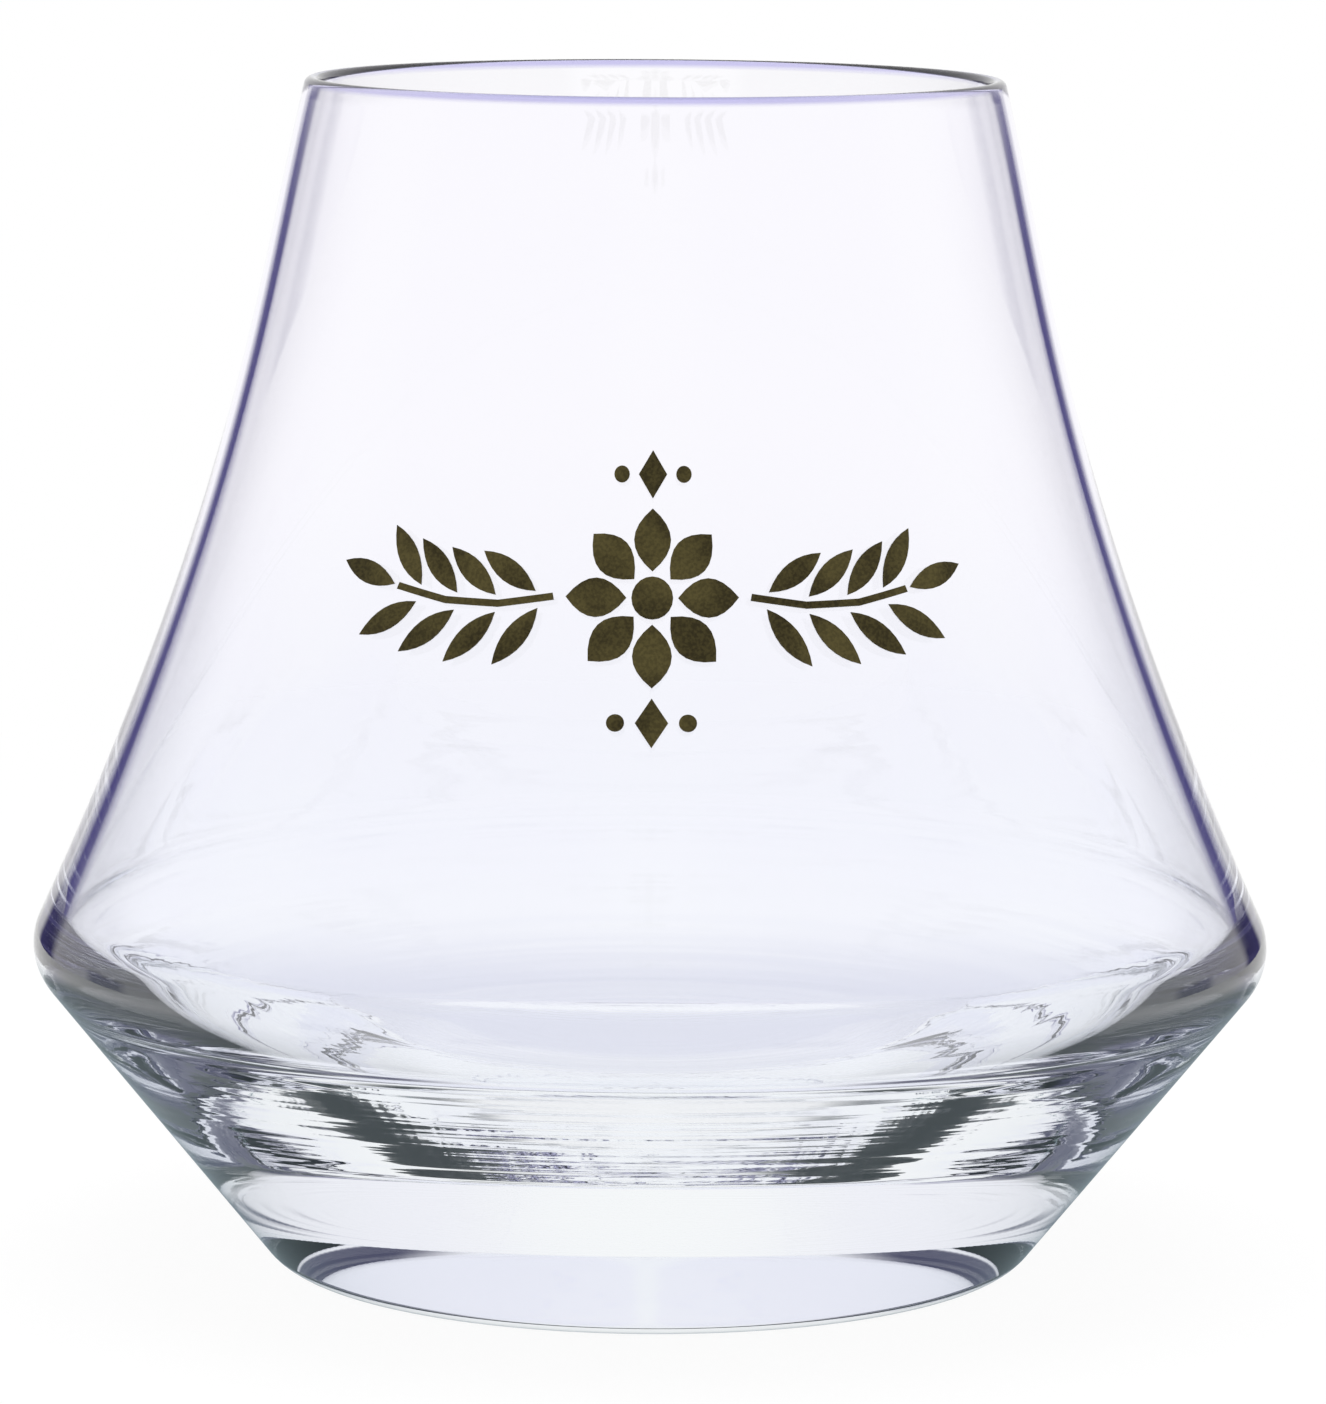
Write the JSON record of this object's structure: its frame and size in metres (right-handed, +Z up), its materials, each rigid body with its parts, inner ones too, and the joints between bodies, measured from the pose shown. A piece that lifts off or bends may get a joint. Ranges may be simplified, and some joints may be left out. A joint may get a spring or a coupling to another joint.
{
  "type": "whisky glass",
  "caption": "Clear whisky tumbler with a heavy base, a sloping lower wall, a wide shoulder and a flank that narrows to the mouth, with a printed leaf ornament.",
  "frame": {"origin": "centre of the foot, on the table", "axes": "+Z up through the mouth, -Y towards the printed front, +X to the right of the print"},
  "size_m": [0.095, 0.095, 0.0914],
  "materials": {
    "clear_glass": "polished",
    "bronze_enamel": "satin metallic"
  },
  "bodies": {
    "root": {"glass_body": "clear_glass", "rosette_petal_1": "bronze_enamel", "rosette_petal_2": "bronze_enamel", "rosette_petal_3": "bronze_enamel", "rosette_petal_4": "bronze_enamel", "rosette_petal_5": "bronze_enamel", "rosette_petal_6": "bronze_enamel", "rosette_petal_7": "bronze_enamel", "rosette_petal_8": "bronze_enamel", "rosette_eye": "bronze_enamel", "left_stem": "bronze_enamel", "left_tip_leaf": "bronze_enamel", "left_upper_leaf_1": "bronze_enamel", "left_upper_leaf_2": "bronze_enamel", "left_upper_leaf_3": "bronze_enamel", "left_upper_leaf_4": "bronze_enamel", "left_lower_leaf_1": "bronze_enamel", "left_lower_leaf_2": "bronze_enamel", "left_lower_leaf_3": "bronze_enamel", "left_lower_leaf_4": "bronze_enamel", "right_stem": "bronze_enamel", "right_tip_leaf": "bronze_enamel", "right_upper_leaf_1": "bronze_enamel", "right_upper_leaf_2": "bronze_enamel", "right_upper_leaf_3": "bronze_enamel", "right_upper_leaf_4": "bronze_enamel", "right_lower_leaf_1": "bronze_enamel", "right_lower_leaf_2": "bronze_enamel", "right_lower_leaf_3": "bronze_enamel", "right_lower_leaf_4": "bronze_enamel", "upper_lozenge": "bronze_enamel", "upper_left_bead": "bronze_enamel", "upper_right_bead": "bronze_enamel", "lower_lozenge": "bronze_enamel", "lower_left_bead": "bronze_enamel", "lower_right_bead": "bronze_enamel"}
  },
  "joints": []
}
